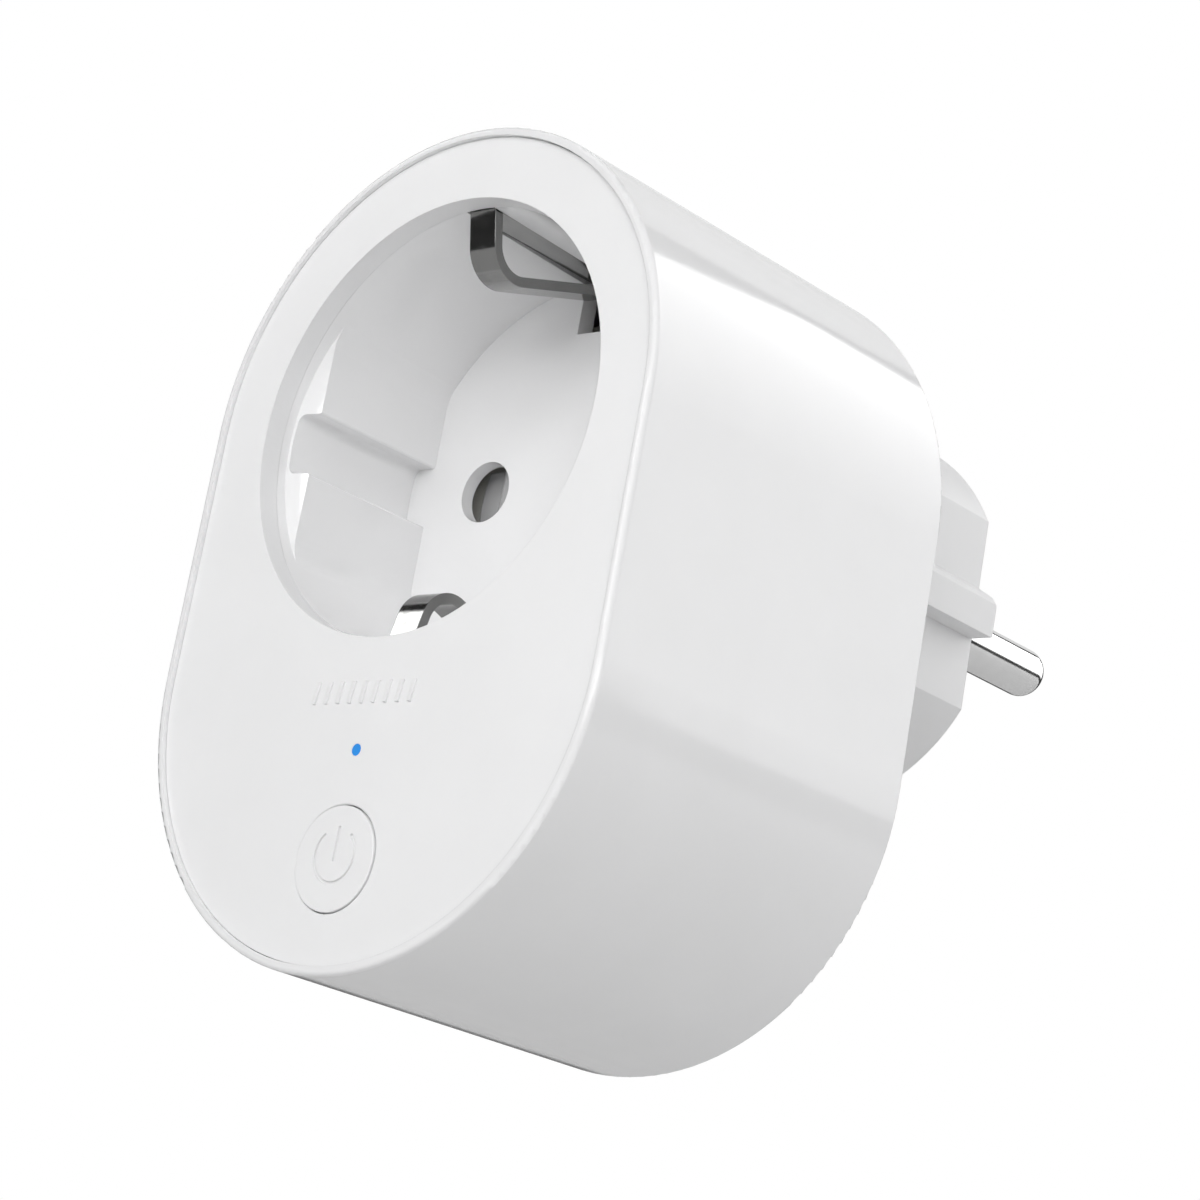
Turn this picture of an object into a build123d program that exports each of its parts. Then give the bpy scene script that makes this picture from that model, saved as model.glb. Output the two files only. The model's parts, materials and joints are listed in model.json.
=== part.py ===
from build123d import *
import math
import os

os.makedirs("parts", exist_ok=True)

# Smart plug: a mains plug on the back, a switched socket on the front.
# Frame: millimetres, +Z up, +Y into the wall, +X to the right as seen from the front.
# The origin is the middle of the plug nose's end face, half way between the two pins.
# Lengths along Y are given as a depth, counted from the front of the face panel.

# ---------------------------------------------------------------- driving sizes
HOUSING_DEPTH = 38.2        # face panel to the back that meets the wall plate
NOSE_LENGTH = 20.5          # how far the plug nose stands out of the housing
PIN_LENGTH = 19.0           # free length of a plug pin
PIN_R = 2.4
PIN_X = 9.5                 # half of the 19 mm pin spacing
PIN_ROOT_R = 2.2            # the part of the pin that sits in the nose
PIN_RELIEF = 0.2            # how far that root stands out of the nose face
PIN_RING_R = 2.55           # shallow ring sunk into the nose face round each pin
PIN_RING_DEPTH = 0.5
PIN_TIP_R = 1.8
END_R = 25.6                # radius of the housing's round ends, at the front
UPPER_Z = 0.25              # centre of the upper round end
LOWER_Z = -22.25            # centre of the lower round end

WALL = 2.0                  # housing wall
HOUSING_DRAFT = 0.75        # degrees; the housing widens towards its back
RIM = 0.8                   # width of the rim left round the face panel
RIM_PROUD = 0.4             # how far the rim stands out past the panel
PANEL_GAP = 0.03
PANEL_T = 2.0
FRONT_EDGE_R = 0.45         # rounding on the housing's outer edges
BACK_EDGE_R = 0.3
COVER_T = 2.4               # rear cover plate
JOINT_GAP = 0.05            # clearance between seated covers

RECESS_R = 19.49            # socket recess at its mouth
RECESS_DRAFT = 1.2          # degrees
RECESS_DEPTH = 17.85
WELL_R = 21.0               # outside of the recess wall
COLLAR_R = 22.6             # stiffening collar that bridges the clip windows
COLLAR_START = 15.0
FLOOR_T = 1.8
CHORD_X = 16.59             # flats on both sides of the recess
CHORD_START = 3.02          # mean depth of the flats' front faces
CHORD_SLOPE = 0.25          # those faces slope this far each way across the flat
NOTCH_HALF = 2.79           # guide notch in the flats
NOTCH_LIP_R = 0.25
NOTCH_ROOT_R = 0.8
FLAT_BLEND_R = 4.0          # where the flats run into the round wall
HOLE_R = 2.87               # contact holes in the recess floor
HOLE_LIP = 1.4              # their length, up to a counterbore from behind
HOLE_BACK_R = 3.57          # that counterbore

CLIP_W = 3.0                # earth clip strip
CLIP_T = 0.9
CLIP_SLOT_HALF = 1.65
CLIP_SLOT_IN = 14.3         # inner end of the slot in the recess floor
CLIP_LEG_Z = 19.85          # middle of the clip's outer leg
CLIP_ROOT = 20.7            # depth of the clip's root end

BUTTON_R = 4.43
BUTTON_Z = -38.2
BUTTON_GAP = 0.10
BUTTON_PROUD = 0.12
SYMBOL_R = 2.42             # power symbol, cut in the button
SYMBOL_LINE = 0.27
LED_R = 0.5
LED_Z = -29.1

NOSE_R = 18.7
NOSE_FLAT_X = 16.3
NOSE_RIB_X = 18.6
NOSE_WALL = 2.3
NOSE_EDGE_R = 0.9
EARTH_Z = 16.2              # floor of the earth grooves in the nose
EARTH_GROOVE_HALF = 3.3
EARTH_STRIP_W = 6.0
EARTH_STRIP_T = 1.0

# ---------------------------------------------------------------- derived sizes
FRONT_Y = -(HOUSING_DEPTH + NOSE_LENGTH)
COVER_FRONT = HOUSING_DEPTH - COVER_T
NOSE_END = HOUSING_DEPTH + NOSE_LENGTH
FLOOR_BACK = RECESS_DEPTH + FLOOR_T

# Inner stack behind the recess floor, as depths.
SHUTTER_FRONT = FLOOR_BACK + 0.2
SHUTTER_T = 1.5
CARRIER_FRONT = SHUTTER_FRONT + SHUTTER_T + 0.25
CARRIER_T = 1.6
CARRIER_BACK = CARRIER_FRONT + CARRIER_T
CARRIER_R = 17.0
CONTACT_LENGTH = 12.0
CONTACT_IN_R = 2.5
CONTACT_T = 0.7
STRAP_W = 5.0
STRAP_T = 0.8

# Boards, as depths of their front faces.
CONTROL_FRONT = 9.5
CONTROL_T = 1.2
MAIN_FRONT = 31.8
MAIN_T = 1.6
BOARD_R = 22.3

# Screw places, as (x, z).
COVER_SCREWS = [(-16.0, 12.3), (16.0, 12.3), (-16.0, -35.0), (16.0, -35.0)]
CARRIER_SCREWS = [(-5.5, 11.5), (5.5, -11.5)]
BOARD_SCREWS = [(-13.0, -29.0), (13.0, -29.0)]
BOSS_R = 2.6

# Relay, standing on the main board.
RELAY_X = 9.2               # half length
RELAY_Z = -29.5
RELAY_HALF_Z = 5.1
RELAY_FRONT = 16.3
RELAY_WALL = 0.8
RELAY_BASE_T = 1.6
COIL_DEPTH = 24.6
ARMATURE_HINGE = 20.4


# ---------------------------------------------------------------- small helpers
def station(depth):
    """Y of a depth behind the front face."""
    return FRONT_Y + depth


def prism(sketch, start, end, taper=0.0):
    """A sketch drawn as (x, z), pushed along +Y from one depth to another."""
    plane = Plane.XZ.offset(-station(start))
    if taper:
        turned = Plane(origin=(0, station(start), 0), x_dir=(-1, 0, 0), z_dir=(0, 1, 0))
        return extrude(turned * sketch, amount=end - start, taper=taper)
    return extrude(plane * sketch, amount=end - start, dir=(0, 1, 0))


def rod(x, z, radius, start, end):
    """A round bar along Y."""
    return prism(Pos(x, z) * Circle(radius), start, end)


def block(x_low, x_high, z_low, z_high, start, end):
    """A rectangular block given by its limits."""
    middle = Pos((x_low + x_high) / 2, (z_low + z_high) / 2)
    return prism(middle * Rectangle(x_high - x_low, z_high - z_low), start, end)


def side_profile(sketch, width, x=0.0):
    """A sketch drawn as (depth, z), given a width along X about x."""
    plane = Plane(origin=(x, FRONT_Y, 0), x_dir=(0, 1, 0), z_dir=(1, 0, 0))
    return extrude(plane * sketch, amount=width / 2, both=True)


def bent_strip(points, thickness, width, x=0.0):
    """A flat strip bent along (depth, z) points."""
    return side_profile(trace(Polyline(*points), line_width=thickness), width, x)


def bar_along_x(radius, x_low, x_high, depth, z):
    """A round bar along X."""
    place = Plane(origin=(x_low, station(depth), z), x_dir=(0, 1, 0), z_dir=(1, 0, 0))
    return extrude(place * Circle(radius), amount=x_high - x_low)


def stadium(radius):
    """The housing's outline at a given end radius."""
    middle_z = (UPPER_Z + LOWER_Z) / 2
    return (
        Pos(0, UPPER_Z) * Circle(radius)
        + Pos(0, LOWER_Z) * Circle(radius)
        + Pos(0, middle_z) * Rectangle(2 * radius, UPPER_Z - LOWER_Z)
    )


def turned_over(shape):
    """The same shape on the lower side of the recess centre."""
    return mirror(shape, about=Plane.XY)


def recess_void():
    """The drafted round space of the socket recess."""
    return prism(Circle(RECESS_R), 0, RECESS_DEPTH, taper=RECESS_DRAFT)


def flat_head_screw(x, z, head_depth, tip_depth, head_r, head_t, shank_r):
    """A screw along Y with its head at one depth and its tip at another."""
    toward_tip = 1 if tip_depth > head_depth else -1
    neck = head_depth + toward_tip * head_t
    head = rod(x, z, head_r, min(head_depth, neck), max(head_depth, neck))
    shank = rod(x, z, shank_r, min(neck, tip_depth), max(neck, tip_depth))
    slot_end = head_depth + toward_tip * head_t / 2
    cross = Rectangle(head_r * 1.2, 0.5) + Rectangle(0.5, head_r * 1.2)
    slot = prism(Pos(x, z) * cross, min(head_depth, slot_end), max(head_depth, slot_end))
    return head + shank - slot


# ---------------------------------------------------------------- housing
def housing_shell():
    """Drafted stadium tube with a rebate at each end and four screw bosses."""
    outside = prism(stadium(END_R), -RIM_PROUD, HOUSING_DEPTH, taper=-HOUSING_DRAFT)
    ends = outside.edges().group_by(Axis.Y)
    outside = fillet(ends[0], FRONT_EDGE_R)
    outside = fillet(outside.edges().group_by(Axis.Y)[-1], BACK_EDGE_R)
    bore = prism(stadium(END_R - WALL), 0, HOUSING_DEPTH)
    front_rebate = prism(stadium(END_R - RIM), -RIM_PROUD, PANEL_T)
    rear_rebate = prism(stadium(END_R - RIM), COVER_FRONT, HOUSING_DEPTH)
    shell = outside - bore - front_rebate - rear_rebate
    for x, z in COVER_SCREWS:
        start = CARRIER_FRONT if z > 0 else MAIN_FRONT - 19
        side = 1 if x > 0 else -1
        boss = rod(x, z, BOSS_R, start, COVER_FRONT)
        web = block(min(x, x + side * 8), max(x, x + side * 8), z - 0.6, z + 0.6, start, COVER_FRONT)
        web = web & prism(stadium(END_R - WALL), start, COVER_FRONT)
        shell = shell + boss + web - rod(x, z, 1.1, COVER_FRONT - 10, COVER_FRONT)
    return shell


def raised_marks():
    """A plain row of slanted ticks, standing in for a rating line."""
    marks = []
    for i in range(9):
        tick = Pos(-6.0 + 1.4 * i, -24.2) * Rot(Z=-8) * Rectangle(0.38, 1.9)
        marks.append(prism(tick, -0.15, 0.2))
    return marks


def chamfered_mouth(x, z, radius, size):
    """A cone that breaks the front edge of a hole in the face panel."""
    mouth = prism(Pos(x, z) * Circle(radius + size), 0, size, taper=45)
    return mouth


def face_panel():
    """Front plate round the socket, with the button and light holes."""
    panel = prism(stadium(END_R - RIM - PANEL_GAP), 0, PANEL_T)
    panel -= recess_void()
    for mark in raised_marks():
        panel += mark
    collar = rod(0, BUTTON_Z, 6.75, PANEL_T, 4.5) - rod(0, BUTTON_Z, 5.75, PANEL_T, 4.5)
    panel += collar
    button_hole = rod(0, BUTTON_Z, BUTTON_R + BUTTON_GAP, 0, PANEL_T)
    button_hole += chamfered_mouth(0, BUTTON_Z, BUTTON_R + BUTTON_GAP, 0.1)
    panel -= button_hole
    panel -= rod(0, LED_Z, LED_R + 0.02, 0, PANEL_T)
    for x, z in BOARD_SCREWS:
        panel += rod(x, z, 2.2, PANEL_T, CONTROL_FRONT)
        panel -= rod(x, z, 0.9, PANEL_T + 1, CONTROL_FRONT)
    return panel


def side_flats():
    """Blocks that flatten both sides of the recess, with sloping front faces."""
    outer = RECESS_R + 0.5
    blocks = []
    for side in (-1, 1):
        outline = Polygon(
            (side * CHORD_X, station(CHORD_START + CHORD_SLOPE)),
            (side * outer, station(CHORD_START - CHORD_SLOPE)),
            (side * outer, station(RECESS_DEPTH)),
            (side * CHORD_X, station(RECESS_DEPTH)),
            align=None,
        )
        blocks.append(extrude(outline, amount=11, both=True))
    return (blocks[0] + blocks[1]) & rod(0, 0, outer, 0, RECESS_DEPTH)


def recess_edges(well, x, low_z, high_z):
    """Edges that run the length of the recess, near +x or -x and in a band of heights."""
    chosen = []
    for edge in well.edges():
        place = edge.center()
        is_long = edge.bounding_box().size.Y > RECESS_DEPTH / 2
        if is_long and abs(abs(place.X) - x) < 0.3 and low_z < abs(place.Z) < high_z:
            chosen.append(edge)
    return chosen


def rounded_recess(well, notch_out):
    """Blends the flats into the round wall and rounds the guide notches."""
    past_notch = 2 * NOTCH_HALF
    root_x = math.sqrt(notch_out ** 2 - NOTCH_HALF ** 2)
    well = fillet(recess_edges(well, CHORD_X, past_notch, RECESS_R), FLAT_BLEND_R)
    well = fillet(recess_edges(well, CHORD_X, 0, past_notch), NOTCH_LIP_R)
    return fillet(recess_edges(well, root_x, 0, past_notch), NOTCH_ROOT_R)


def socket_well():
    """Round wall of the recess with its side flats, guide notches and clip windows."""
    wall = rod(0, 0, WELL_R, PANEL_T, RECESS_DEPTH) - recess_void()
    collar = rod(0, 0, COLLAR_R, COLLAR_START, RECESS_DEPTH) - rod(0, 0, WELL_R, COLLAR_START, RECESS_DEPTH)
    notch_out = RECESS_R - RECESS_DEPTH * math.tan(math.radians(RECESS_DRAFT))
    notch = prism(Circle(notch_out) & Rectangle(2 * WELL_R, 2 * NOTCH_HALF), 0, RECESS_DEPTH)
    well = rounded_recess(wall + side_flats() - notch, notch_out)
    window = prism(Rectangle(2 * CLIP_SLOT_HALF, 2 * WELL_R + 2), PANEL_T, RECESS_DEPTH)
    return well - window + collar


def socket_floor():
    """Floor of the recess with the two contact holes and two clip slots."""
    plate = rod(0, 0, WELL_R, RECESS_DEPTH, FLOOR_BACK)
    for side in (-1, 1):
        plate -= rod(side * PIN_X, 0, HOLE_R, RECESS_DEPTH, FLOOR_BACK)
        plate -= rod(side * PIN_X, 0, HOLE_BACK_R, RECESS_DEPTH + HOLE_LIP, FLOOR_BACK)
        low, high = sorted((side * CLIP_SLOT_IN, side * (WELL_R + 1)))
        plate -= block(-CLIP_SLOT_HALF, CLIP_SLOT_HALF, low, high, RECESS_DEPTH, FLOOR_BACK)
    for x, z in CARRIER_SCREWS:
        plate += rod(x, z, 2.0, FLOOR_BACK, CARRIER_FRONT)
        plate -= rod(x, z, 0.9, FLOOR_BACK - 1, CARRIER_FRONT)
    return plate


# ---------------------------------------------------------------- plug nose
def nose_outline():
    """Cross-section of the plug nose: round, with side flats and guide ribs."""
    outline = Circle(NOSE_R) & Rectangle(2 * NOSE_FLAT_X, 2 * NOSE_R)
    for side in (-1, 1):
        rib = Polygon(
            (side * (NOSE_FLAT_X - 1), 2.6),
            (side * NOSE_FLAT_X, 2.6),
            (side * (NOSE_RIB_X - 0.5), 1.5),
            (side * NOSE_RIB_X, 0.8),
            (side * NOSE_RIB_X, -2.4),
            (side * (NOSE_FLAT_X - 1), -2.4),
            align=None,
        )
        outline += rib
    return outline


def nose_cavity_outline(clearance=0.0):
    """Inside of the hollow nose, flattened behind the flats and the earth grooves."""
    return (
        Circle(NOSE_R - NOSE_WALL - clearance)
        & Rectangle(2 * (NOSE_FLAT_X - NOSE_WALL - clearance), 2 * (EARTH_Z - 1.6 - clearance))
    )


def rear_cover():
    """Back plate and hollow plug nose in one piece."""
    nose = prism(nose_outline(), COVER_FRONT, NOSE_END)
    nose = fillet(nose.edges().group_by(Axis.Y)[-1], NOSE_EDGE_R)
    plate = prism(stadium(END_R - RIM - JOINT_GAP), COVER_FRONT, HOUSING_DEPTH)
    cover = plate + nose
    cover -= prism(nose_cavity_outline(), COVER_FRONT, NOSE_END - 2.5)
    for side in (-1, 1):
        low, high = sorted((side * EARTH_Z, side * (NOSE_R + 1)))
        half = EARTH_GROOVE_HALF
        cover -= block(-half, half, low, high, HOUSING_DEPTH, NOSE_END)
        low, high = sorted((side * EARTH_Z, side * (EARTH_Z + EARTH_STRIP_T + JOINT_GAP)))
        slot_half = EARTH_STRIP_W / 2 + JOINT_GAP
        cover -= block(-slot_half, slot_half, low, high, COVER_FRONT, HOUSING_DEPTH)
        cover -= rod(side * PIN_X, 0, PIN_ROOT_R + JOINT_GAP, NOSE_END - 2.5, NOSE_END)
        cover -= rod(side * PIN_X, 0, PIN_RING_R, NOSE_END - PIN_RING_DEPTH, NOSE_END)
    for x, z in COVER_SCREWS:
        cover -= rod(x, z, 1.5, COVER_FRONT, HOUSING_DEPTH)
        cover -= rod(x, z, 2.7, HOUSING_DEPTH - 1.3, HOUSING_DEPTH)
    for x in (-18.0, 18.0):
        cover += rod(x, -28.0, 1.8, MAIN_FRONT + MAIN_T, COVER_FRONT)
        cover += rod(x, -28.0, 0.9, MAIN_FRONT, COVER_FRONT)
    return cover


def pin_carrier():
    """Moulded block inside the nose that grips both pins."""
    start = NOSE_END - 10.5
    end = NOSE_END - 2.5
    carrier = prism(nose_cavity_outline(JOINT_GAP), start, end)
    for side in (-1, 1):
        carrier -= rod(side * PIN_X, 0, PIN_ROOT_R + 0.02, start, end)
    return carrier


def plug_pin(side):
    """Mains pin with a rounded tip, a slightly thinner root, a collar and a terminal tail."""
    x = side * PIN_X
    collar_back = NOSE_END - 10.5
    pin = rod(x, 0, PIN_R, NOSE_END + PIN_RELIEF, NOSE_END + PIN_LENGTH)
    pin = fillet(pin.edges().group_by(Axis.Y)[-1], PIN_TIP_R)
    pin += rod(x, 0, PIN_ROOT_R, collar_back, NOSE_END + PIN_RELIEF)
    pin += rod(x, 0, 3.5, collar_back - 1.4, collar_back)
    pin += rod(x, 0, 1.5, collar_back - 5.4, collar_back - 1.4)
    return pin


def nose_earth_strip():
    """Earth contact lying in the upper groove of the nose."""
    strip = block(
        -EARTH_STRIP_W / 2, EARTH_STRIP_W / 2, EARTH_Z, EARTH_Z + EARTH_STRIP_T,
        32.8, NOSE_END - 1.3,
    )
    return strip


# ---------------------------------------------------------------- socket contacts
def earth_clip():
    """Upper earth contact of the socket: an outer leg folded into a sprung bow."""
    fold = (2.65, CLIP_LEG_Z)
    leg = trace(Polyline((CLIP_ROOT, CLIP_LEG_Z), (2.25, CLIP_LEG_Z)), line_width=CLIP_T)
    path = FilletPolyline(fold, (4.12, 13.59), (18.2, 18.14), radius=2.9)
    bow = trace(path, line_width=CLIP_T)
    return side_profile(leg + bow, CLIP_W)


def earth_bridge():
    """Strap that joins both earth clips to both nose strips behind the floor."""
    strap = CARRIER_BACK + 0.5
    upper = [
        (strap, 0),
        (strap, CLIP_LEG_Z),
        (33.6, CLIP_LEG_Z),
        (33.6, EARTH_Z + EARTH_STRIP_T),
    ]
    half = bent_strip(upper, STRAP_T, STRAP_W)
    tab = bent_strip([(CLIP_ROOT + 0.2, CLIP_LEG_Z), (strap, CLIP_LEG_Z)], STRAP_T, CLIP_W)
    half += tab
    return half + turned_over(half)


def socket_contact(side):
    """Split sleeve that grips an inserted pin, with a tail down to the main board."""
    x = side * PIN_X
    start = CARRIER_BACK + 0.1
    end = start + CONTACT_LENGTH
    sleeve = rod(x, 0, CONTACT_IN_R + CONTACT_T, start, end)
    tail_x = x + side * 2.1
    tail = bent_strip([(30.4, -1.5), (30.4, -25.6), (MAIN_FRONT, -25.6)], STRAP_T, 2.8, tail_x)
    contact = sleeve + tail
    contact -= rod(x, 0, CONTACT_IN_R, start, end)
    contact -= block(x - 0.6, x + 0.6, 0, 4, start, end)
    return contact


def pin_busbar(side):
    """Strip from a plug pin's tail down to the back of the main board."""
    x = side * PIN_X
    eye_start = NOSE_END - 13.6
    level = eye_start + STRAP_T / 2
    run = MAIN_FRONT + MAIN_T + 1.2
    board_back = MAIN_FRONT + MAIN_T
    path = [(level, 0), (level, -10.8), (run, -10.8), (run, -28.0), (board_back, -28.0)]
    bar = bent_strip(path, STRAP_T, 4.0, x)
    bar += rod(x, 0, 2.6, eye_start, eye_start + STRAP_T)
    return bar - rod(x, 0, 1.52, eye_start, eye_start + STRAP_T)


def contact_carrier():
    """Plate behind the shutter that locates the contacts and the shutter's pivot."""
    plate = rod(0, 0, CARRIER_R, CARRIER_FRONT, CARRIER_BACK)
    for side in (-1, 1):
        plate -= rod(side * PIN_X, 0, HOLE_R, CARRIER_FRONT, CARRIER_BACK)
    for x, z in CARRIER_SCREWS:
        plate -= rod(x, z, 1.2, CARRIER_FRONT, CARRIER_BACK)
    return plate + rod(0, 0, 1.4, SHUTTER_FRONT + 0.1, CARRIER_FRONT)


def shutter():
    """Child-safety rotor whose two vanes cover the contact holes and end in a ramp."""
    back = SHUTTER_FRONT + SHUTTER_T
    outline = Circle(3.6) + (Rectangle(2 * 12.8, 6.2) & Circle(12.8))
    rotor = prism(outline, SHUTTER_FRONT, back)
    for side in (-1, 1):
        ramp = Polygon(
            (side * 9.3, station(SHUTTER_FRONT)),
            (side * 13.0, station(SHUTTER_FRONT)),
            (side * 13.0, station(back - 0.4)),
            (side * 10.6, station(back - 0.4)),
            align=None,
        )
        rotor -= extrude(ramp, amount=4, both=True)
    rotor -= rod(0, 0, 1.45, SHUTTER_FRONT, back)
    pocket = rod(0, 0, 2.75, back - 0.9, back) - rod(0, 0, 1.85, back - 0.9, back)
    return rotor - pocket


def shutter_spring():
    """Torsion spring that turns the shutter back over the holes."""
    turns = Helix(pitch=0.35, height=0.55, radius=2.3)
    wire = sweep((turns ^ 0) * Circle(0.15), path=turns)
    start = SHUTTER_FRONT + SHUTTER_T - 0.62
    return Pos(0, station(start), 0) * Rot(X=-90) * wire


# ---------------------------------------------------------------- button and light
def power_symbol():
    """Open ring with a bar through its gap."""
    ring = Circle(SYMBOL_R) - Circle(SYMBOL_R - SYMBOL_LINE)
    ring -= Polygon((0, 0), (-2.6, 3.1), (2.6, 3.1), align=None)
    bar = Pos(0, SYMBOL_R - 1.44) * Rectangle(SYMBOL_LINE, 2.88)
    return Pos(0, BUTTON_Z + 0.25) * (ring + bar)


def power_button():
    """Round cap with a retaining flange and a stem, and a power symbol cut in its face."""
    cap = rod(0, BUTTON_Z, BUTTON_R, -BUTTON_PROUD, 2.4)
    cap = fillet(cap.edges().group_by(Axis.Y)[0], 0.08)
    cap += rod(0, BUTTON_Z, 5.6, PANEL_T + 0.05, 2.85)
    cap += rod(0, BUTTON_Z, 1.5, 2.85, 4.85)
    return cap - prism(power_symbol(), -BUTTON_PROUD, 0.15 - BUTTON_PROUD)


def led_light_pipe():
    """Clear rod that carries the status light to the face."""
    pipe = rod(0, LED_Z, LED_R, 0, PANEL_T)
    pipe += rod(0, LED_Z, 1.5, PANEL_T, 2.85)
    return pipe + rod(0, LED_Z, 1.0, 2.85, 8.6)


def tact_switch_body():
    """Push switch on the control board, under the button."""
    body = block(-3.1, 3.1, BUTTON_Z - 3.1, BUTTON_Z + 3.1, 6.0, CONTROL_FRONT)
    return body - rod(0, BUTTON_Z, 1.75, 6.0, 7.6)


def tact_switch_stem():
    """Plunger of the push switch."""
    return rod(0, BUTTON_Z, 1.7, 4.9, 7.0)


def status_led():
    """Surface-mounted light behind the light pipe."""
    return block(-0.8, 0.8, LED_Z - 0.5, LED_Z + 0.5, 8.7, CONTROL_FRONT)


# ---------------------------------------------------------------- boards
def control_board():
    """Small board behind the face that carries the switch, the light and the radio."""
    back = CONTROL_FRONT + CONTROL_T
    outline = stadium(BOARD_R) & (Pos(0, -34.6) * Rectangle(36.0, 20.2))
    board = prism(outline, CONTROL_FRONT, back)
    for x, z in BOARD_SCREWS:
        board -= rod(x, z, 1.2, CONTROL_FRONT, back)
    return board


def wireless_board():
    """Radio module soldered to the back of the control board."""
    start = CONTROL_FRONT + CONTROL_T
    return block(-9.0, 9.0, -41.0, -27.0, start, start + 0.8)


def shield_can():
    """Metal lid over the radio module."""
    start = CONTROL_FRONT + CONTROL_T + 0.8
    lid = block(-5.5, 8.5, -40.5, -29.5, start, start + 2.0)
    return lid - block(-5.2, 8.2, -40.2, -29.8, start, start + 1.7)


def antenna():
    """Folded copper track at the edge of the radio module."""
    start = CONTROL_FRONT + CONTROL_T + 0.8
    track = Pos(-8.4, -34.0) * Rectangle(0.4, 11.0)
    for i in range(4):
        track += Pos(-7.6, -29.0 - 3.0 * i) * Rectangle(1.9, 0.4)
    return prism(track, start, start + 0.1)


def board_link():
    """Pin header between the control board and the main board."""
    back = CONTROL_FRONT + CONTROL_T
    link = block(-13.2, -11.2, -37.2, -33.2, MAIN_FRONT - 2.5, MAIN_FRONT)
    for i in range(2):
        link += rod(-12.2, -34.2 - 2.0 * i, 0.32, back, MAIN_FRONT)
    return link + block(-13.2, -11.2, -37.2, -33.2, back, back + 2.5)


def main_board():
    """Power board at the back of the lower half."""
    outline = stadium(BOARD_R) & (Pos(0, -34.5) * Rectangle(46.0, 21.4))
    board = prism(outline, MAIN_FRONT, MAIN_FRONT + MAIN_T)
    for x in (-18.0, 18.0):
        board -= rod(x, -28.0, 0.95, MAIN_FRONT, MAIN_FRONT + MAIN_T)
    for x, z in COVER_SCREWS:
        board -= rod(x, z, BOSS_R + 0.2, MAIN_FRONT, MAIN_FRONT + MAIN_T)
        side = 1 if x > 0 else -1
        low, high = sorted((x, x + side * 8))
        board -= block(low, high, z - 0.9, z + 0.9, MAIN_FRONT, MAIN_FRONT + MAIN_T)
    return board


# ---------------------------------------------------------------- parts on the main board
def film_capacitor():
    """Box capacitor across the mains."""
    return block(-20.0, -14.0, -26.4, -22.9, 20.0, MAIN_FRONT) + block(
        -19.0, -14.0, -31.0, -26.4, 20.0, MAIN_FRONT - 0.6
    )


def varistor():
    """Surge disc with two leads."""
    disc = bar_along_x(3.9, 14.4, 18.0, 26.6, -28.2)
    for z in (-30.6, -25.8):
        disc += rod(16.2, z, 0.4, 28.0, MAIN_FRONT)
    return disc


def bulk_capacitor():
    """Large electrolytic can."""
    can = rod(-7.2, -39.7, 4.0, 17.8, MAIN_FRONT)
    return can - (rod(-7.2, -39.7, 4.0, 29.6, 30.2) - rod(-7.2, -39.7, 3.7, 29.6, 30.2))


def output_capacitor():
    """Small electrolytic can."""
    can = rod(1.4, -41.0, 3.1, 20.8, MAIN_FRONT)
    return can - (rod(1.4, -41.0, 3.1, 29.8, 30.3) - rod(1.4, -41.0, 2.85, 29.8, 30.3))


def inductor():
    """Drum choke."""
    drum = rod(9.4, -38.7, 3.0, 23.8, 25.0) + rod(9.4, -38.7, 3.0, 30.4, MAIN_FRONT)
    return drum + rod(9.4, -38.7, 2.6, 25.0, 30.4)


def fusible_resistor():
    """Axial resistor that opens on overload."""
    return rod(11.4, -31.6, 1.6, 21.5, 30.5) + rod(11.4, -31.6, 0.35, 30.5, MAIN_FRONT)


def bridge_rectifier():
    """Surface-mounted rectifier."""
    return block(-13.3, -9.5, -32.4, -27.7, 29.4, MAIN_FRONT)


def converter_chip():
    """Power converter chip on the back of the main board."""
    start = MAIN_FRONT + MAIN_T
    chip = block(1.0, 5.9, -34.9, -31.0, start, start + 1.5)
    for i in range(4):
        x = 1.5 + 1.27 * i
        chip += block(x - 0.2, x + 0.2, -35.9, -30.0, start, start + 0.3)
    return chip


# ---------------------------------------------------------------- relay
def relay_case():
    """Cover of the relay, open towards the board."""
    low = RELAY_Z - RELAY_HALF_Z
    high = RELAY_Z + RELAY_HALF_Z
    case = block(-RELAY_X, RELAY_X, low, high, RELAY_FRONT, MAIN_FRONT)
    wall = RELAY_WALL
    return case - block(
        -RELAY_X + wall, RELAY_X - wall, low + wall, high - wall, RELAY_FRONT + wall, MAIN_FRONT
    )


def relay_base():
    """Base that closes the relay's case."""
    inset = RELAY_WALL + JOINT_GAP
    half_x = RELAY_X - inset
    half_z = RELAY_HALF_Z - inset
    return block(
        -half_x, half_x, RELAY_Z - half_z, RELAY_Z + half_z, MAIN_FRONT - RELAY_BASE_T, MAIN_FRONT
    )


def relay_core():
    """Iron core through the coil, with its pole face towards the armature."""
    return bar_along_x(1.3, -3.3, 6.9, COIL_DEPTH, RELAY_Z)


def relay_coil():
    """Winding on its bobbin."""
    bobbin = bar_along_x(3.3, -2.5, -1.7, COIL_DEPTH, RELAY_Z)
    bobbin += bar_along_x(3.3, 5.9, 6.7, COIL_DEPTH, RELAY_Z)
    bobbin += bar_along_x(2.9, -1.7, 5.9, COIL_DEPTH, RELAY_Z)
    for x in (-1.3, 6.3):
        bobbin += block(x - 0.4, x + 0.4, RELAY_Z - 2.0, RELAY_Z + 2.0, 27.0, MAIN_FRONT - RELAY_BASE_T)
    return bobbin - bar_along_x(1.33, -2.5, 6.7, COIL_DEPTH, RELAY_Z)


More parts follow.
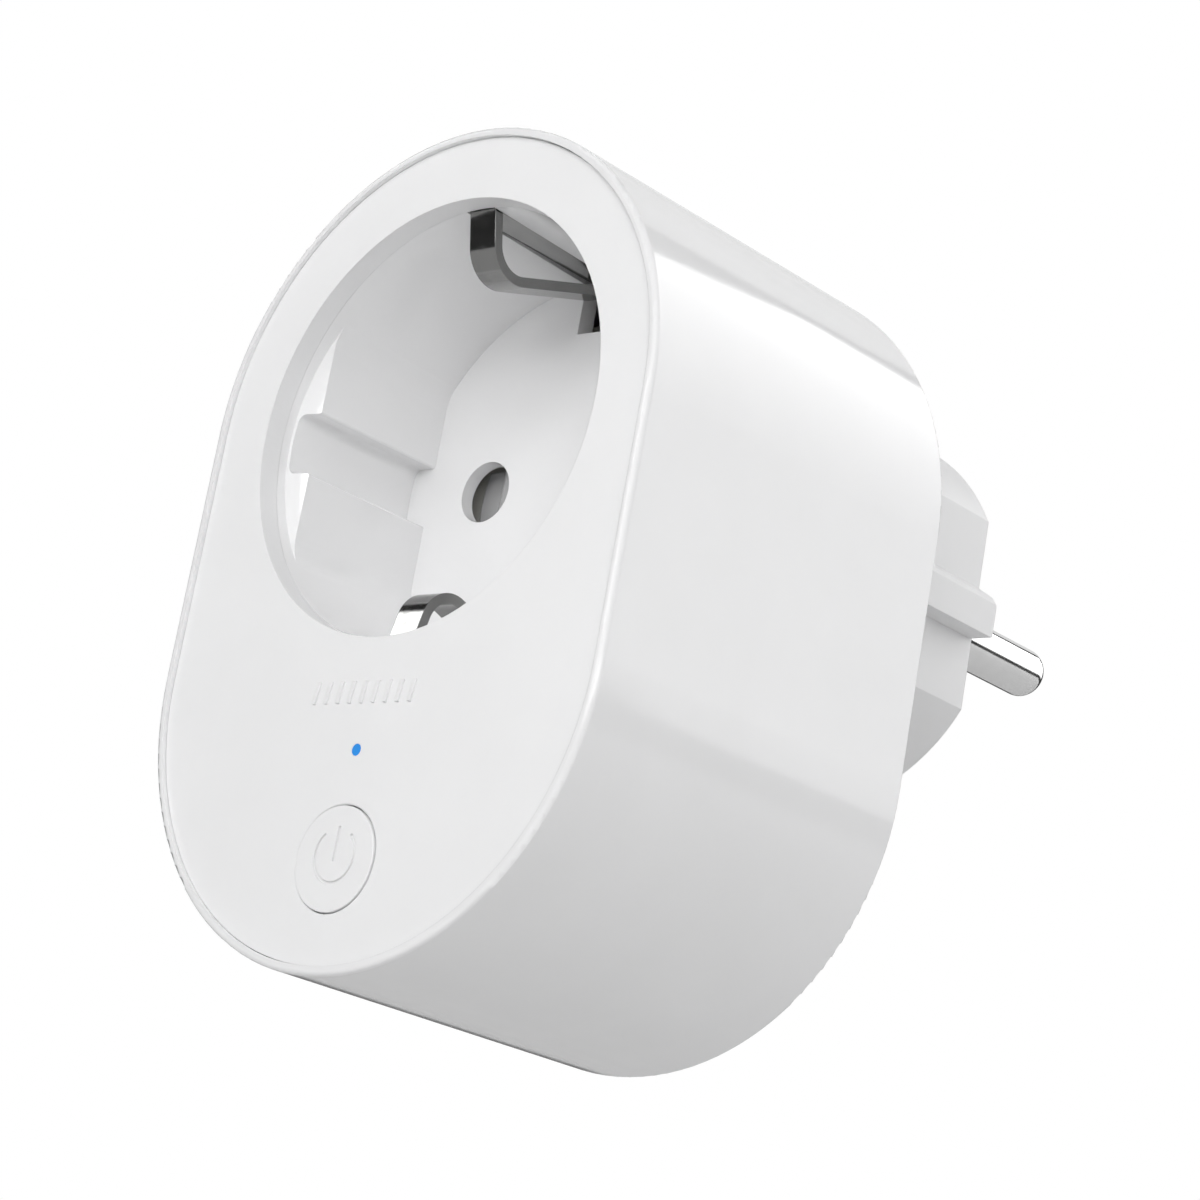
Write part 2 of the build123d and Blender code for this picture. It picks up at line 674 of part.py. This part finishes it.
def relay_yoke():
    """Iron frame from the core's far end round to the armature's hinge edge."""
    half = 3.6
    back = block(6.9, 7.9, RELAY_Z - half, RELAY_Z + half, 19.9, 27.6)
    return back + block(-3.3, 6.9, RELAY_Z - half, RELAY_Z + half, 19.9, 20.9)


def relay_armature():
    """Iron plate that swings on to the pole."""
    half = 3.4
    return block(-4.8, -3.8, RELAY_Z - half, RELAY_Z + half, ARMATURE_HINGE, 27.4)


def relay_contact_spring():
    """Leaf on the armature that carries the moving contact."""
    leaf = block(-5.05, -4.8, RELAY_Z - 2.4, RELAY_Z + 2.4, 21.4, 29.9)
    return leaf + bar_along_x(1.0, -4.8, -4.0, 28.9, RELAY_Z)


def relay_fixed_contact():
    """Terminal with the contact that the moving one closes on."""
    strip = block(-2.8, -2.2, RELAY_Z - 2.4, RELAY_Z + 2.4, 28.0, MAIN_FRONT - RELAY_BASE_T)
    return strip + bar_along_x(1.0, -3.4, -2.8, 28.9, RELAY_Z)


# ---------------------------------------------------------------- fasteners
def cover_screws():
    """Four screws that hold the rear cover to the shell."""
    screws = [
        flat_head_screw(x, z, HOUSING_DEPTH - 0.1, COVER_FRONT - 8, 2.5, 1.2, 1.09)
        for x, z in COVER_SCREWS
    ]
    return Compound(children=screws)


def small_screws(places, head_depth, tip_depth):
    """Small pan-head screws that all point towards the face."""
    screws = [flat_head_screw(x, z, head_depth, tip_depth, 1.9, 1.2, 0.89) for x, z in places]
    return Compound(children=screws)


# ---------------------------------------------------------------- write one file per node
clip = earth_clip()
strip = nose_earth_strip()
carrier_screw_head = CARRIER_BACK + 1.2
board_screw_head = CONTROL_FRONT + CONTROL_T + 1.2

NODES = {
    "housing_shell": housing_shell(),
    "face_panel": face_panel(),
    "socket_well": socket_well(),
    "socket_floor": socket_floor(),
    "rear_cover": rear_cover(),
    "pin_carrier": pin_carrier(),
    "line_pin": plug_pin(1),
    "neutral_pin": plug_pin(-1),
    "nose_earth_strip_top": strip,
    "nose_earth_strip_bottom": turned_over(strip),
    "earth_clip_top": clip,
    "earth_clip_bottom": turned_over(clip),
    "earth_bridge": earth_bridge(),
    "line_contact": socket_contact(1),
    "neutral_contact": socket_contact(-1),
    "line_busbar": pin_busbar(1),
    "neutral_busbar": pin_busbar(-1),
    "contact_carrier": contact_carrier(),
    "shutter": shutter(),
    "shutter_spring": shutter_spring(),
    "power_button": power_button(),
    "led_light_pipe": led_light_pipe(),
    "tact_switch_body": tact_switch_body(),
    "tact_switch_stem": tact_switch_stem(),
    "status_led": status_led(),
    "control_board": control_board(),
    "wireless_board": wireless_board(),
    "shield_can": shield_can(),
    "antenna": antenna(),
    "board_link": board_link(),
    "main_board": main_board(),
    "film_capacitor": film_capacitor(),
    "varistor": varistor(),
    "bulk_capacitor": bulk_capacitor(),
    "output_capacitor": output_capacitor(),
    "inductor": inductor(),
    "fusible_resistor": fusible_resistor(),
    "bridge_rectifier": bridge_rectifier(),
    "converter_chip": converter_chip(),
    "relay_case": relay_case(),
    "relay_base": relay_base(),
    "relay_core": relay_core(),
    "relay_coil": relay_coil(),
    "relay_yoke": relay_yoke(),
    "relay_armature": relay_armature(),
    "relay_contact_spring": relay_contact_spring(),
    "relay_fixed_contact": relay_fixed_contact(),
    "cover_screws": cover_screws(),
    "carrier_screws": small_screws(CARRIER_SCREWS, carrier_screw_head, FLOOR_BACK - 0.8),
    "board_screws": small_screws(BOARD_SCREWS, board_screw_head, CONTROL_FRONT - 5),
}

for node, shape in NODES.items():
    export_step(shape, f"parts/{node}.step")
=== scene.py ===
import json
import math

import bpy
from mathutils import Euler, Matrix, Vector

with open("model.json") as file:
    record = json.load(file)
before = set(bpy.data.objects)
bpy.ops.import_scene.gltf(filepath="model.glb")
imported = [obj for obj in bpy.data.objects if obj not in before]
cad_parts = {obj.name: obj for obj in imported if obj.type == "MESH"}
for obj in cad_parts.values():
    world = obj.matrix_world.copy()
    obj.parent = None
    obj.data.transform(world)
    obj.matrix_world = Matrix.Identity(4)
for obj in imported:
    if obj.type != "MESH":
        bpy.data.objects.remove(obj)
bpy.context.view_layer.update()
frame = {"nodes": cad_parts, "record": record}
NODES = frame["nodes"]
RECORD = frame["record"]

# ---------------------------------------------------------------- camera
CAMERA_PLACE = (0.18284, -0.22472, -0.07850)
CAMERA_TURN = (105.086, -9.813, 41.110)     # degrees, XYZ
CAMERA_LENS = 92.765
SENSOR = 36.0
NEAREST_SEEN = 0.005
FARTHEST_SEEN = 20.0


def add_camera():
    data = bpy.data.cameras.new("photo_camera")
    data.lens = CAMERA_LENS
    data.sensor_width = SENSOR
    data.clip_start = NEAREST_SEEN
    data.clip_end = FARTHEST_SEEN
    camera = bpy.data.objects.new("photo_camera", data)
    camera.location = CAMERA_PLACE
    camera.rotation_euler = Euler([math.radians(a) for a in CAMERA_TURN], "XYZ")
    bpy.context.scene.collection.objects.link(camera)
    bpy.context.scene.camera = camera


# ---------------------------------------------------------------- light and floor
FLOOR_Z = -0.105
FLOOR_SIZE = 1.5            # stops short of the softboxes
FLOOR_GREY = 0.72
ROOM_LEVEL = 0.05           # what the room gives the object
BACKDROP_LEVEL = 1.0        # what the camera sees behind it
LIGHT_AIM = Vector((0.0, -0.04, -0.01))
LIGHT_DISTANCE = 1.2

# name, azimuth and elevation in degrees, width and height as angles in degrees,
# brightness at the bottom and at the top
SOFTBOXES = [
    ("key", 300.0, 35.0, 40.0, 40.0, 1.23, 1.23),
    ("front", 270.0, 25.0, 50.0, 40.0, 1.27, 1.27),
    ("overhead", 270.0, 85.0, 60.0, 60.0, 0.52, 0.52),
    ("right", 0.0, 25.0, 50.0, 50.0, 0.55, 0.55),
    ("wall_side", 63.5, 26.5, 43.0, 47.0, 1.36, 3.13),
    ("camera_side", 309.0, 7.0, 60.0, 12.0, 4.53, 4.53),
    ("back_left", 125.0, 35.0, 40.0, 40.0, 0.72, 0.72),
    ("flat_gloss", 238.5, 16.5, 10.0, 10.0, 9.0, 9.0),
    ("clip_gloss", 214.0, 31.0, 10.0, 8.0, 4.5, 4.5),
]


def white_background(nodes, level):
    node = nodes.new("ShaderNodeBackground")
    node.inputs["Color"].default_value = (1.0, 1.0, 1.0, 1.0)
    node.inputs["Strength"].default_value = level
    return node


def add_world():
    world = bpy.data.worlds.new("studio")
    world.use_nodes = True
    nodes = world.node_tree.nodes
    links = world.node_tree.links
    nodes.clear()
    room = white_background(nodes, ROOM_LEVEL)
    backdrop = white_background(nodes, BACKDROP_LEVEL)
    path = nodes.new("ShaderNodeLightPath")
    mix = nodes.new("ShaderNodeMixShader")
    out = nodes.new("ShaderNodeOutputWorld")
    links.new(path.outputs["Is Camera Ray"], mix.inputs["Fac"])
    links.new(room.outputs[0], mix.inputs[1])
    links.new(backdrop.outputs[0], mix.inputs[2])
    links.new(mix.outputs[0], out.inputs["Surface"])
    bpy.context.scene.world = world


def grade_light(data, low_z, high_z, low_level, high_level):
    """Makes a softbox brighter towards its top."""
    data.use_nodes = True
    nodes = data.node_tree.nodes
    links = data.node_tree.links
    place = nodes.new("ShaderNodeNewGeometry")
    split = nodes.new("ShaderNodeSeparateXYZ")
    level = nodes.new("ShaderNodeMapRange")
    level.inputs["From Min"].default_value = low_z
    level.inputs["From Max"].default_value = high_z
    level.inputs["To Min"].default_value = low_level
    level.inputs["To Max"].default_value = high_level
    links.new(place.outputs["Position"], split.inputs[0])
    links.new(split.outputs["Z"], level.inputs["Value"])
    links.new(level.outputs[0], nodes["Emission"].inputs["Strength"])


def add_softbox(name, azimuth, elevation, wide, high, low_level, high_level):
    turn = math.radians(azimuth)
    rise = math.radians(elevation)
    toward = Vector((math.cos(turn) * math.cos(rise), math.sin(turn) * math.cos(rise), math.sin(rise)))
    data = bpy.data.lights.new(name, "AREA")
    data.shape = "RECTANGLE"
    data.size = 2 * LIGHT_DISTANCE * math.tan(math.radians(wide / 2))
    data.size_y = 2 * LIGHT_DISTANCE * math.tan(math.radians(high / 2))
    data.energy = math.pi * data.size * data.size_y
    light = bpy.data.objects.new(name, data)
    light.location = LIGHT_AIM + toward * LIGHT_DISTANCE
    light.rotation_euler = (-toward).to_track_quat("-Z", "Y").to_euler()
    light.visible_camera = False
    reach = data.size_y / 2 * math.cos(rise)
    grade_light(data, light.location.z - reach, light.location.z + reach, low_level, high_level)
    bpy.context.scene.collection.objects.link(light)


def add_floor():
    half = FLOOR_SIZE / 2
    mesh = bpy.data.meshes.new("floor")
    corners = [(-half, -half, FLOOR_Z), (half, -half, FLOOR_Z), (half, half, FLOOR_Z), (-half, half, FLOOR_Z)]
    mesh.from_pydata(corners, [], [(0, 1, 2, 3)])
    floor = bpy.data.objects.new("floor", mesh)
    bpy.context.scene.collection.objects.link(floor)
    material = bpy.data.materials.new("floor_paper")
    material.use_nodes = True
    shader = material.node_tree.nodes["Principled BSDF"]
    shader.inputs["Base Color"].default_value = (FLOOR_GREY, FLOOR_GREY, FLOOR_GREY, 1.0)
    shader.inputs["Roughness"].default_value = 0.9
    mesh.materials.append(material)


# ---------------------------------------------------------------- material building blocks
MM = 1000.0                 # noise cells per metre that makes a cell about 1 mm


def new_material(name):
    material = bpy.data.materials.new(name)
    material.use_nodes = True
    return material, material.node_tree, material.node_tree.nodes["Principled BSDF"]


def object_noise(tree, cell_mm, stretch=(1.0, 1.0, 1.0), detail=3.0):
    coords = tree.nodes.new("ShaderNodeTexCoord")
    mapping = tree.nodes.new("ShaderNodeMapping")
    mapping.inputs["Scale"].default_value = stretch
    noise = tree.nodes.new("ShaderNodeTexNoise")
    noise.inputs["Scale"].default_value = MM / cell_mm
    noise.inputs["Detail"].default_value = detail
    tree.links.new(coords.outputs["Object"], mapping.inputs["Vector"])
    tree.links.new(mapping.outputs[0], noise.inputs["Vector"])
    return noise.outputs["Fac"]


def spread(tree, value, low, high, from_low=0.3, from_high=0.7):
    node = tree.nodes.new("ShaderNodeMapRange")
    node.inputs["From Min"].default_value = from_low
    node.inputs["From Max"].default_value = from_high
    node.inputs["To Min"].default_value = low
    node.inputs["To Max"].default_value = high
    tree.links.new(value, node.inputs["Value"])
    return node.outputs[0]


def blend_colours(tree, value, dark, light):
    node = tree.nodes.new("ShaderNodeMix")
    node.data_type = "RGBA"
    node.inputs["A"].default_value = (*dark, 1.0)
    node.inputs["B"].default_value = (*light, 1.0)
    tree.links.new(value, node.inputs["Factor"])
    return node.outputs["Result"]


def soft_edges(tree, radius_mm):
    """Rounds the shading of sharp edges."""
    node = tree.nodes.new("ShaderNodeBevel")
    node.samples = 6
    node.inputs["Radius"].default_value = radius_mm / MM
    return node.outputs["Normal"]


def bump(tree, height, depth_mm, strength=1.0, normal=None):
    node = tree.nodes.new("ShaderNodeBump")
    node.inputs["Strength"].default_value = strength
    node.inputs["Distance"].default_value = depth_mm / MM
    tree.links.new(height, node.inputs["Height"])
    if normal is not None:
        tree.links.new(normal, node.inputs["Normal"])
    return node.outputs["Normal"]


def scaled(colour, factor):
    return tuple(channel * factor for channel in colour)


# ---------------------------------------------------------------- finishes
def moulded_plastic(name, colour, roughness, grain_mm=0.25, grain_depth_mm=0.004, edge_mm=0.12, flow=0.02):
    """Injection moulding: faint flow clouding, fine tool texture, softened edges."""
    material, tree, shader = new_material(name)
    cloud = spread(tree, object_noise(tree, 9.0, detail=4.0), 0.0, 1.0)
    clouded = blend_colours(tree, cloud, scaled(colour, 1.0 - flow), colour)
    tree.links.new(clouded, shader.inputs["Base Color"])
    grain = object_noise(tree, grain_mm, detail=2.0)
    tree.links.new(spread(tree, grain, roughness * 0.85, roughness * 1.15), shader.inputs["Roughness"])
    normal = bump(tree, grain, grain_depth_mm, normal=soft_edges(tree, edge_mm))
    tree.links.new(normal, shader.inputs["Normal"])
    shader.inputs["IOR"].default_value = 1.49
    return material


def metal(name, colour, roughness, grain_mm=0.6, stretch=(1.0, 0.05, 1.0), depth_mm=0.001, edge_mm=0.1):
    """Plated or drawn metal: fine lines along one direction and a faint change of tone."""
    material, tree, shader = new_material(name)
    cloud = spread(tree, object_noise(tree, 3.0), 0.0, 1.0)
    tree.links.new(blend_colours(tree, cloud, scaled(colour, 0.93), colour), shader.inputs["Base Color"])
    lines = object_noise(tree, grain_mm, stretch=stretch, detail=4.0)
    tree.links.new(spread(tree, lines, roughness * 0.7, roughness * 1.3), shader.inputs["Roughness"])
    tree.links.new(bump(tree, lines, depth_mm, normal=soft_edges(tree, edge_mm)), shader.inputs["Normal"])
    shader.inputs["Metallic"].default_value = 1.0
    return material


def shutter_plastic(name, colour, ramp_highlight):
    """Grey moulding whose sloping ramps are coloured lighter than its flat front: a painted highlight where
    they face the light.
    """
    material = moulded_plastic(name, colour, 0.35)
    tree = material.node_tree
    coords = tree.nodes.new("ShaderNodeTexCoord")
    split = tree.nodes.new("ShaderNodeSeparateXYZ")
    size = tree.nodes.new("ShaderNodeMath")
    size.operation = "ABSOLUTE"
    tree.links.new(coords.outputs["Normal"], split.inputs[0])
    tree.links.new(split.outputs["X"], size.inputs[0])
    # ramps that face sideways get the lighter colour: painted highlight
    on_ramp = spread(tree, size.outputs[0], 0.0, 1.0, 0.15, 0.4)
    shader = tree.nodes["Principled BSDF"]
    tree.links.new(blend_colours(tree, on_ramp, colour, ramp_highlight), shader.inputs["Base Color"])
    return material


def lit_plastic(name, colour, glow, strength):
    """A clear or lensed piece with a light behind it."""
    material = moulded_plastic(name, colour, 0.18, grain_mm=0.4, grain_depth_mm=0.001)
    tree = material.node_tree
    shader = tree.nodes["Principled BSDF"]
    halo = spread(tree, object_noise(tree, 0.5), 0.8, 1.0)
    tree.links.new(blend_colours(tree, halo, scaled(glow, 0.7), glow), shader.inputs["Emission Color"])
    shader.inputs["Emission Strength"].default_value = strength
    return material


def printed_board(name, mask, track):
    """Solder mask over tracks: a fine grid of slightly lighter lines."""
    material, tree, shader = new_material(name)
    coords = tree.nodes.new("ShaderNodeTexCoord")
    tracks = tree.nodes.new("ShaderNodeTexBrick")
    tracks.inputs["Scale"].default_value = MM / 2.0
    tracks.inputs["Mortar Size"].default_value = 0.06
    tracks.inputs["Color1"].default_value = (*mask, 1.0)
    tracks.inputs["Color2"].default_value = (*scaled(mask, 0.8), 1.0)
    tracks.inputs["Mortar"].default_value = (*track, 1.0)
    tree.links.new(coords.outputs["Object"], tracks.inputs["Vector"])
    tree.links.new(tracks.outputs["Color"], shader.inputs["Base Color"])
    weave = object_noise(tree, 0.4)
    tree.links.new(spread(tree, weave, 0.25, 0.4), shader.inputs["Roughness"])
    tree.links.new(bump(tree, tracks.outputs["Fac"], 0.02), shader.inputs["Normal"])
    return material


def wound_wire(name, colour):
    """Lacquered wire: fine turns side by side, with painted shade darkening the grooves between turns."""
    material, tree, shader = new_material(name)
    coords = tree.nodes.new("ShaderNodeTexCoord")
    turns = tree.nodes.new("ShaderNodeTexWave")
    turns.bands_direction = "X"
    turns.inputs["Scale"].default_value = MM * 0.8
    turns.inputs["Distortion"].default_value = 0.3
    tree.links.new(coords.outputs["Object"], turns.inputs["Vector"])
    # colour falls to 40% in the grooves between turns: painted shade
    turns_with_painted_shade = blend_colours(tree, turns.outputs["Fac"], scaled(colour, 0.4), colour)
    tree.links.new(turns_with_painted_shade, shader.inputs["Base Color"])
    tree.links.new(bump(tree, turns.outputs["Fac"], 0.05), shader.inputs["Normal"])
    shader.inputs["Roughness"].default_value = 0.3
    return material


PLAIN_MOULDINGS = (
    "black_part", "film_yellow", "varistor_blue", "resistor_body", "relay_blue", "switch_body", "can_sleeve",
)


def slot_colours():
    return {row["slot"]: row["base_color"] for row in RECORD["materials"]}


def build_finishes():
    colours = slot_colours()
    made = {
        "white_shell": moulded_plastic("white_shell", (0.86, 0.86, 0.865), 0.10, grain_depth_mm=0.0015),
        "white_face": moulded_plastic("white_face", (0.86, 0.86, 0.865), 0.38, grain_mm=0.18),
        "white_socket": moulded_plastic(
            "white_socket", (0.90, 0.90, 0.905), 0.10, grain_depth_mm=0.0015, edge_mm=0.06),
        "white_nose": moulded_plastic("white_nose", (0.79, 0.79, 0.795), 0.38),
        "inner_plastic": moulded_plastic("inner_plastic", (0.72, 0.71, 0.67), 0.40),
        # the lighter second colour is the painted highlight on the shutter ramps
        "shutter_grey": shutter_plastic("shutter_grey", (0.44, 0.44, 0.445), (0.66, 0.66, 0.665)),
        "nickel": metal("nickel", (0.30, 0.30, 0.295), 0.14),
        "pin_nickel": metal("pin_nickel", (0.85, 0.85, 0.85), 0.10),
        "brass": metal("brass", colours["brass"], 0.28),
        "spring_steel": metal("spring_steel", colours["spring_steel"], 0.25),
        "screw_steel": metal("screw_steel", colours["screw_steel"], 0.30, stretch=(1.0, 1.0, 1.0)),
        "tin": metal("tin", colours["tin"], 0.35, stretch=(1.0, 1.0, 1.0)),
        "copper": metal("copper", colours["copper"], 0.25),
        "iron": metal("iron", colours["iron"], 0.35, stretch=(0.1, 1.0, 1.0)),
        "light_pipe": lit_plastic("light_pipe", (0.03, 0.13, 0.30), (0.012, 0.26, 0.80), 0.65),
        "led": lit_plastic("led", (0.08, 0.3, 1.0), (0.05, 0.35, 1.0), 3.0),
        "board_green": printed_board("board_green", colours["board_green"], (0.06, 0.34, 0.16)),
        "radio_board": printed_board("radio_board", colours["radio_board"], (0.05, 0.12, 0.25)),
        "coil_wire": wound_wire("coil_wire", colours["coil_wire"]),
        "ferrite": wound_wire("ferrite", colours["ferrite"]),
    }
    for slot in PLAIN_MOULDINGS:
        made[slot] = moulded_plastic(slot, tuple(colours[slot]), 0.35, flow=0.08)
    return made


def dress_nodes(finishes):
    for row in RECORD["subparts"]:
        node = NODES[row["node"]]
        material = finishes[row["material_slot"]]
        if not node.material_slots:
            node.data.materials.append(material)
        for slot in node.material_slots:
            slot.material = material


add_camera()
add_world()
for row in SOFTBOXES:
    add_softbox(*row)
add_floor()
dress_nodes(build_finishes())
bpy.context.scene.view_settings.view_transform = "Standard"
